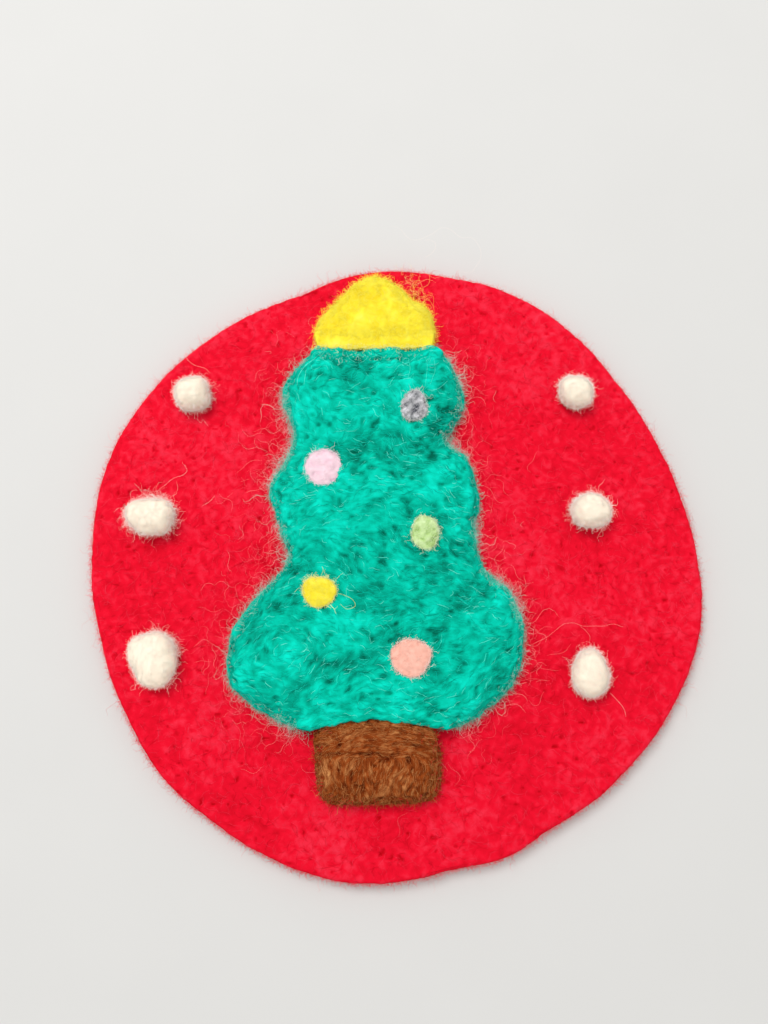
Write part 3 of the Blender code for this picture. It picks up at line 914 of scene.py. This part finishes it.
def add_ornament(node, index):
    slot = node.replace("ornament_", "") + "_wool"
    layers = (
        Layer(1.3, height=0.09, shade=0.02),
        Layer(0.24, 0.7, height=0.012, shade=0.06),
        # Dimples: sunk, and painted darker as a painted shade
        Layer(0.26, 0.35, height=-0.1, shade=-0.3, level=1.3),
    )
    if slot == "grey_wool":
        layers += (Layer(0.38, height=0.03, shade=0.24), Layer(0.2, 0.6, shade=0.17))
    if slot == "lime_wool":
        layers += (Layer(0.38, height=0.03, shade=0.2),)
    meeting, flattening = meeting_height(node), 0.35

    def flattened(points):
        points[:, 2] -= flattening * np.maximum(points[:, 2] - meeting, 0)
        return points

    ball = wool_piece(
        node, slot, wound_flow(500 + 9 * index), layers, 720 + 50 * index, voxel=0.13, rounding=8,
        swell=-0.25, reshape=flattened, mean=0.44 if slot == "grey_wool" else 0.52, rim=0.35,
    )
    laid_fibres(ball, node + "_fibres", 320, (0.6, 2.0), (0.012, 0.02), (0.4, 1.0), 0.04)
    low, high = heights_of(ball.mesh)
    share = (meeting + 0.1 * MM - low) / (high - low)
    zone = (share, share + 0.9 * (1 - share))
    halo(
        ball, node + "_down", 700, 0.24, (0.014, 0.022), (0.5, 1.0), zone=zone, steep=0.85, steps=4,
        spread=1.0, climb=(0.0, 0.3), fall=(0.1, 0.5), floor=meeting + 0.15 * MM,
    )
    halo(
        ball, node + "_fuzz", 130, 0.7, (0.013, 0.02), (0.7, 1.0), zone=zone, steep=0.85, spread=1.3,
        climb=(0.0, 0.4), fall=(0.2, 0.7), curl=2.4, floor=meeting + 0.2 * MM, tufts=0.6,
    )


tree = add_tree()
trunk = add_trunk()
topper = add_topper()
snow_balls = [add_snow(node, index) for index, node in enumerate(snow)]
for index, node in enumerate(ornaments):
    add_ornament(node, index)


# The red round

felt_step = 0.28 * MM
edge_round = 0.6 * MM
back_hollow = 0.1 * MM


def widest_ring(node):
    """The widest level ring of a CAD solid, counterclockwise about its middle, as flat points."""
    points = np.unique(np.round(points_of(NODES[node].data), 6), axis=0)
    best_reach, best = 0, None
    for level in np.unique(points[:, 2]):
        ring = points[np.isclose(points[:, 2], level, atol=1e-6)][:, :2]
        reach = np.hypot(*ring.T).mean()
        if len(ring) > 12 and reach > best_reach:
            best_reach, best = reach, ring
    return best[np.argsort(np.arctan2(best[:, 1], best[:, 0]))]


def rounded_curve(points, step):
    """A closed line with points about a step apart, its corners rounded off."""
    ring = np.vstack([points, points[:1]])
    along = np.concatenate([[0], np.cumsum(np.hypot(*np.diff(ring, axis=0).T))])
    places = np.linspace(0, along[-1], round(along[-1] / step), endpoint=False)
    line = np.stack([np.interp(places, along, ring[:, axis]) for axis in (0, 1)], axis=-1)
    window = 4
    for _ in range(2):
        line = sum(np.roll(line, shift, axis=0) for shift in range(-window, window + 1))
        line = line / (2 * window + 1)
    return line


def drawn_in(ring, distance):
    """A closed counterclockwise line, moved inwards."""
    along = np.roll(ring, -1, axis=0) - np.roll(ring, 1, axis=0)
    inward = unit(np.stack([-along[:, 1], along[:, 0]], axis=-1))
    return ring + inward * np.reshape(distance, (-1, 1))


def inside_ring(ring, margin):
    """A test for points that lie in a ring, at least a margin from it."""
    angles = np.arctan2(ring[:, 1], ring[:, 0])
    order = np.argsort(angles)
    angles, reach = angles[order], np.hypot(*ring.T)[order]

    def test(grid):
        away = np.interp(np.arctan2(grid[:, 1], grid[:, 0]), angles, reach, period=TURN)
        return np.hypot(*grid.T) < away - margin
    return test


def under_tree(flat):
    """Whether points of the felt lie well under the tree."""
    hidden = np.ones(len(flat), bool)
    reach = 1.5 * MM
    for aside in ((reach, 0), (-reach, 0), (0, reach), (0, -reach)):
        for index in np.flatnonzero(hidden):
            above = (flat[index, 0] + aside[0], flat[index, 1] + aside[1], cad_high.z * 2)
            hidden[index] = tree.surface.ray_cast(above, (0, 0, -1))[0] is not None
    return hidden


def flat_mesh(ring, step, keep):
    """Points on a ring and in staggered rows inside it, with the faces between them."""
    low, high = ring.min(axis=0), ring.max(axis=0)
    rows = np.arange(low[1] + step / 2, high[1], step * math.sin(math.pi / 3))
    columns = np.arange(low[0], high[0], step)
    x, y = np.meshgrid(columns, rows)
    x = x + step / 2 * (np.arange(len(rows)) % 2)[:, None]
    grid = np.stack([x.ravel(), y.ravel()], axis=-1)
    points = np.vstack([ring, grid[keep(grid)]])
    corners = [Vector(point) for point in points / MM]
    found = geometry.delaunay_2d_cdt(corners, [], [list(range(len(ring)))], 1, 1e-6, False)
    assert len(found[0]) == len(points)
    return points, np.array(found[2])


def felt_rings(outline):
    """The round's edge as level rings from the bottom up, each with its height."""
    rings = []
    for turn in np.linspace(0, math.pi / 2, 4):
        inset = edge_round * (1 - math.sin(turn))
        rings.append((drawn_in(outline, inset), edge_round * (1 - math.cos(turn))))
    for share in np.linspace(0, 1, 7)[1:-1]:
        rings.append((outline, edge_round + (felt_top - 2 * edge_round) * share))
    for turn in np.linspace(0, math.pi / 2, 4):
        inset = edge_round * (1 - math.cos(turn))
        rings.append((drawn_in(outline, inset), felt_top - edge_round * (1 - math.sin(turn))))
    return rings


def felt_mesh():
    """The bare round, fine on top where it shows. Returns it with its outline."""
    outline = rounded_curve(widest_ring("felt_round"), felt_step)
    count = len(outline)
    wobble = noise(np.hstack([outline, np.zeros((count, 1))]), 5 * MM, 700)
    outline = drawn_in(outline, (0.04 + 0.06 * wobble) * MM)
    rings = felt_rings(outline)
    points = [np.hstack([flat, np.full((count, 1), height)]) for flat, height in rings]
    here = np.arange(count)
    there = (here + 1) % count
    faces = []
    for level in range(len(rings) - 1):
        a, b = here + level * count, there + level * count
        faces += [np.stack([a, b, b + count], -1), np.stack([a, b + count, a + count], -1)]

    def seen_or_few(grid):
        kept = inside_ring(rings[-1][0], felt_step * 0.6)(grid)
        picked = np.flatnonzero(kept)
        hidden = picked[under_tree(grid[picked])]
        kept[hidden[np.arange(len(hidden)) % 5 != 0]] = False
        return kept

    back_step = 1.1 * MM
    back = inside_ring(rings[0][0], back_step * 0.6)
    start = len(rings) * count
    for ring_start, ring, height, step, keep, turned in (
        (start - count, rings[-1][0], felt_top, felt_step, seen_or_few, 1),
        (0, rings[0][0], back_hollow, back_step, back, -1),
    ):
        flat, flat_faces = flat_mesh(ring, step, keep)
        inner = flat[count:]
        points.append(np.hstack([inner, np.full((len(inner), 1), height)]))
        numbers = np.concatenate([here + ring_start, start + np.arange(len(inner))])
        faces.append(numbers[flat_faces][:, ::turned])
        start += len(inner)
    mesh = bpy.data.meshes.new("felt_round_cloth")
    mesh.from_pydata(np.vstack(points), [], np.vstack(faces))
    mesh.shade_smooth()
    return mesh, outline


def add_edge_hairs(name, kind, outline, count, inset, lowest, gamma, radius, shade, facing=None, **run):
    """Hairs round the round's cut edge, from this height up.

    gamma is the shape and the scale of the spread of their lengths, in millimetres.
    """
    edge = outline[rng.integers(0, len(outline), count)]
    heights = rng.uniform(lowest, felt_top - 0.1 * MM, (count, 1))
    starts = np.hstack([edge * inset, heights])
    outward = np.arctan2(edge[:, 1], edge[:, 0])
    shape, scale = gamma
    paths = hair_paths(starts, outward, rng.gamma(shape, scale * MM, count), 0.0, **run)
    if facing is None:
        aside = np.stack([np.cos(outward), np.sin(outward), np.full(count, 0.8)], axis=-1)
        facing = unit(aside[:, None])
    add_fibres(name, "red_felt", kind, paths, radius, shade, facing=facing)


def add_felt():
    layers = (
        Layer(4.5, height=0.06, shade=0.04),
        Layer(0.6, height=0.01, shade=0.02),
        Layer(0.22, 0.8, height=0.015, shade=0.06),
        # Needle holes: sunk, and painted darker as a painted shade
        Layer(0.28, 0.34, height=-0.14, shade=-0.42, level=1.4),
    )
    flow = random_flow(0.8 * MM, 710)
    mesh, outline = felt_mesh()

    def back(points):
        return 1 - smooth_step(points[:, 2], 0.1 * MM, 1.2 * MM)

    felted(mesh, flow, layers, 711, held=back)
    piece = dress(show("felt_round_cloth", mesh), wool["red_felt"])
    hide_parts("felt_round")

    felt = Tuft("red_felt", mesh, surface_of(mesh), flow)
    laid_fibres(felt, "felt_fuzz_light", 5600, (0.8, 2.6), (0.010, 0.018), (0.5, 1.0), 0.12)
    laid_fibres(felt, "felt_fuzz_deep", 3600, (0.8, 2.6), (0.010, 0.018), (0.0, 0.5), 0.12)
    add_edge_hairs(
        "felt_edge_fuzz", hair, outline, 6000, 0.999, 0.2 * MM, (2.0, 0.34), (0.011, 0.017), (0, 1),
        spread=0.9, curl=1.4, climb=(-0.5, 0.6), fall=(0.0, 0.8),
    )
    add_edge_hairs(
        "felt_edge_down", strand, outline, 7000, 0.998, felt_top - 0.8 * MM, (3.0, 0.13), (0.012, 0.018),
        (0.3, 1), UP, steps=4, spread=0.9, curl=1.2, climb=(-0.3, 0.9), fall=(0.0, 0.6),
    )


add_felt()


def add_loose_fibres(count=800):
    """Pale fibres of the felt that needling pulled up round the tree, most of them left of it."""
    def sides(points, normals):
        return (np.abs(normals[:, 2]) < 0.6) & (points[:, 2] < felt_top + 2 * MM)

    starts, normals = random_starts(tree.mesh, count, sides)
    kept = (normals[:, 0] < 0) | (rng.uniform(size=count) < 0.45)
    starts, normals = starts[kept], normals[kept]
    count = len(starts)
    outward = unit(normals[:, :2])
    starts[:, :2] += outward * rng.gamma(1.6, 1.7 * MM, (count, 1))
    starts[:, 2] = felt_top + rng.uniform(0, 0.15 * MM, count)
    headings = np.arctan2(outward[:, 1], outward[:, 0]) + math.pi / 2 * rng.choice([-1, 1], count)
    lengths = rng.uniform(1.2 * MM, 4.5 * MM, count)
    floor = felt_top + 0.06 * MM
    paths = hair_paths(starts, headings, lengths, floor, steps=9, climb=(0.0, 0.2), fall=(0.0, 0.4))
    add_fibres("felt_loose_fibres", "red_felt", hair, paths, (0.010, 0.017), (0.0, 0.8))


add_loose_fibres()


def add_back_fibres(slot, tufts, count):
    """Ends of the wool that the needle pushed through to the felt's back."""
    def upper(points, normals):
        return normals[:, 2] > 0.5

    starts = np.concatenate([random_starts(tuft.mesh, count, upper)[0] for tuft in tufts])
    starts[:, 2] = rng.uniform(0.02 * MM, back_hollow, len(starts))
    headings = rng.uniform(0, TURN, len(starts))
    lengths = rng.gamma(3.0, 0.2 * MM, len(starts))
    paths = hair_paths(starts, headings, lengths, 0.02 * MM, 5, 0.5, 2.5, climb=(0, 0), fall=(0, 0.1))
    add_fibres("back_fibres_" + slot, slot, strand, paths, (0.015, 0.03), (0, 1), facing=(0, 0, -1))


add_back_fibres("green_wool", [tree], 3400)
add_back_fibres("brown_wool", [trunk], 700)
add_back_fibres("yellow_wool", [topper], 600)
add_back_fibres("white_wool", snow_balls, 130)


def add_seams():
    """Hairs over the edges where two wools meet."""
    down = (math.pi * 1.1, math.pi * 1.9)
    upper = from_photo(314, 346, 3.1 * MM), from_photo(432, 346, 3.1 * MM)
    below = from_photo(316, 355, 3 * MM), from_photo(432, 355, 3 * MM)
    beside = from_photo(404, 274, 0.5 * MM), from_photo(424, 300, 0.5 * MM)
    lower = from_photo(318, 728, 3 * MM), from_photo(436, 728, 3 * MM)
    seam_hairs("topper_seam_hairs", "yellow_wool", upper, 5.3 * MM, 700, 0.45, 0.22, headings=down)
    seam_hairs("tree_top_hairs", "green_wool", below, 5.3 * MM, 90, 0.8, 0.4, headings=down)
    seam_hairs("topper_wisps", "yellow_wool", beside, felt_top + 0.3 * MM, 60, 2.0, 0.8, (0.008, 0.013))
    seam_hairs("trunk_seam_hairs", "brown_wool", lower, 5.1 * MM, 260, 0.5, 0.3, kind=strand)


add_seams()


# Stray fibres that the photograph shows one by one, as pixels of it

stray_lines = {
    "white_wool": (
        ((390, 226), (397, 227), (402, 231), (408, 238), (417, 240), (428, 236), (435, 232), (440, 228),
         (450, 229), (457, 235), (463, 238), (471, 237), (477, 243), (481, 251), (480, 260), (475, 268),
         (471, 273), (463, 272)),
        ((425, 240), (430, 240), (435, 243), (435, 249), (431, 254), (424, 258)),
        ((185, 353), (187, 359), (194, 365), (204, 368), (210, 373)),
        ((197, 419), (201, 423), (203, 420), (208, 426)),
        ((159, 489), (165, 485), (174, 478), (183, 475), (187, 470), (182, 462)),
        ((134, 483), (139, 488), (142, 493)),
        ((202, 506), (209, 502), (215, 496)),
        ((610, 693), (617, 700), (624, 709), (626, 717)),
    ),
    "red_felt": (
        ((529, 646), (537, 642), (547, 637), (556, 630), (564, 624), (574, 623), (583, 626), (594, 626),
         (604, 626), (613, 624), (623, 627)),
        ((580, 626), (586, 631), (590, 637), (589, 643)),
        ((529, 657), (534, 654), (535, 650), (531, 648)),
        ((536, 682), (541, 680), (549, 681)),
    ),
    "yellow_wool": (
        ((421, 296), (428, 299), (433, 306), (434, 315), (432, 324)),
    ),
}
# Loops of pale green wool under the topper and above the grey ornament
tree_lines = (
    ((319, 350), (321, 356), (325, 361), (329, 363), (332, 359), (334, 356)),
    ((326, 351), (328, 354), (331, 357), (336, 356)),
    ((346, 351), (349, 357), (354, 360), (361, 361), (366, 358), (367, 354)),
    ((354, 352), (357, 355), (362, 358)),
    ((375, 352), (377, 356), (380, 358)),
    ((385, 359), (388, 359), (393, 354), (395, 350)),
    ((401, 352), (403, 359), (403, 366), (409, 359)),
    ((403, 358), (409, 358), (407, 364), (402, 366)),
    ((393, 374), (399, 367), (409, 362), (419, 353)),
    ((409, 362), (410, 370), (408, 380), (414, 374)),
    ((414, 374), (412, 382), (407, 390)),
    ((425, 356), (427, 367), (425, 388)),
    ((434, 358), (435, 370), (433, 377), (430, 386)),
    ((431, 393), (440, 388), (448, 380)),
    ((322, 351), (314, 358), (304, 366), (298, 375), (297, 385)),
    ((306, 367), (305, 378), (304, 385)),
)
ornament_lines = (
    ((334, 592), (341, 594), (352, 599), (355, 606), (347, 609), (340, 604)),
    ((334, 583), (338, 577), (343, 573)),
    ((329, 603), (334, 609), (336, 614)),
    ((302, 587), (298, 588), (294, 592)),
    ((321, 575), (323, 570), (322, 566)),
)


def through(corners, steps):
    """A smooth line through corners, as evenly spaced points."""
    corners = np.array(corners)
    padded = np.vstack([2 * corners[0] - corners[1], corners, 2 * corners[-1] - corners[-2]])
    line = []
    for share in np.linspace(0, len(corners) - 1, 12 * len(corners)):
        index = min(int(share), len(corners) - 2)
        t = share - index
        a, b, c, d = padded[index:index + 4]
        bend, twist = 2 * a - 5 * b + 4 * c - d, 3 * b - a - 3 * c + d
        line.append(0.5 * (2 * b + (c - a) * t + bend * t**2 + twist * t**3))
    line = np.array(line)
    along = np.concatenate([[0], np.cumsum(np.linalg.norm(np.diff(line, axis=0), axis=1))])
    places = np.linspace(0, along[-1], steps)
    return np.stack([np.interp(places, along, line[:, axis]) for axis in range(3)], axis=-1)


def add_strays(name, slot, lines, low, radius=0.011, kind=hair, surface=None):
    """Stray hairs along lines of the photograph, from this height above the felt up.

    With a surface they lie on it.
    """
    paths = []
    for line in lines:
        heights = rng.uniform(low, low + 0.4 * MM, len(line))
        corners = [from_photo(x, y, height) for (x, y), height in zip(line, heights)]
        path = through(corners, 40)
        if surface is not None:
            for place in path:
                under = surface.ray_cast((place[0], place[1], cad_high.z * 2), (0, 0, -1))[0]
                place[2] = max(under.z if under else 0, felt_top) + radius * MM
        paths.append(path)
    add_fibres(name, slot, kind, np.stack(paths), radius, (0.4, 1.0), end_share=0.6)


for slot, lines in stray_lines.items():
    add_strays(slot + "_strays", slot, lines, 0.1 * MM)
add_strays("ornament_strays", "yellow_wool", ornament_lines, 3.8 * MM, 0.018, surface=tree.surface)
add_strays("tree_loops", "green_wool", tree_lines, 3.0 * MM, 0.026, pale_strand, tree.surface)


# The floor, the light and the camera

def plain_material(name, colour, grain):
    """A plain surface with a faint grain of this many lumps to the metre."""
    material, nodes, shader = blank_material(name)
    set_inputs(shader, {"Roughness": 0.9})
    place = nodes.new("ShaderNodeTexCoord")
    speckle = nodes.new("ShaderNodeTexNoise")
    set_inputs(speckle, {"Scale": grain})
    ramp = nodes.new("ShaderNodeValToRGB")
    ramp.color_ramp.elements[0].color = [share * 0.97 for share in colour] + [1]
    ramp.color_ramp.elements[1].color = [*colour, 1]
    join(place, "Object", speckle, "Vector")
    join(speckle, "Fac", ramp, "Fac")
    join(ramp, "Color", shader, "Base Color")
    return material


def add_floor():
    reach, gap = 3.0, 0.02 * MM
    corners = [(-reach, -reach, 0), (reach, -reach, 0), (reach, reach, 0), (-reach, reach, 0)]
    mesh = bpy.data.meshes.new("floor")
    mesh.from_pydata(corners, [], [(0, 1, 2, 3)])
    mesh.materials.append(plain_material("pale_floor", (0.68, 0.68, 0.67), grain=60))
    floor = show("floor", mesh)
    floor.location.z = -gap


def add_light():
    """An even pale sky, and a soft lamp behind and left of the tree's top."""
    world = bpy.data.worlds.new("studio")
    bpy.context.scene.world = world
    world.use_nodes = True
    set_inputs(world.node_tree.nodes["Background"], {"Color": (1.0, 0.985, 0.96, 1), "Strength": 0.74})
    key_place = Vector((-0.22, 0.36, 0.62))
    lamp = bpy.data.lights.new("key", "AREA")
    lamp.shape = "SQUARE"
    lamp.size = 0.30
    lamp.energy = 3.1
    key = show("key", lamp)
    key.location = key_place
    key.rotation_euler = (-key_place).to_track_quat("-Z", "Y").to_euler()


def add_camera():
    data = bpy.data.cameras.new("camera")
    data.lens = photo_focal_pixels / photo_height * sensor_long_side
    data.sensor_width = sensor_long_side
    data.clip_start = 1 * MM
    data.clip_end = 20
    camera = show("camera", data)
    camera.location = camera_place
    camera.rotation_euler = (camera_tilt, 0, 0)
    bpy.context.scene.camera = camera
    bpy.context.scene.view_settings.view_transform = "Standard"


add_floor()
add_light()
add_camera()
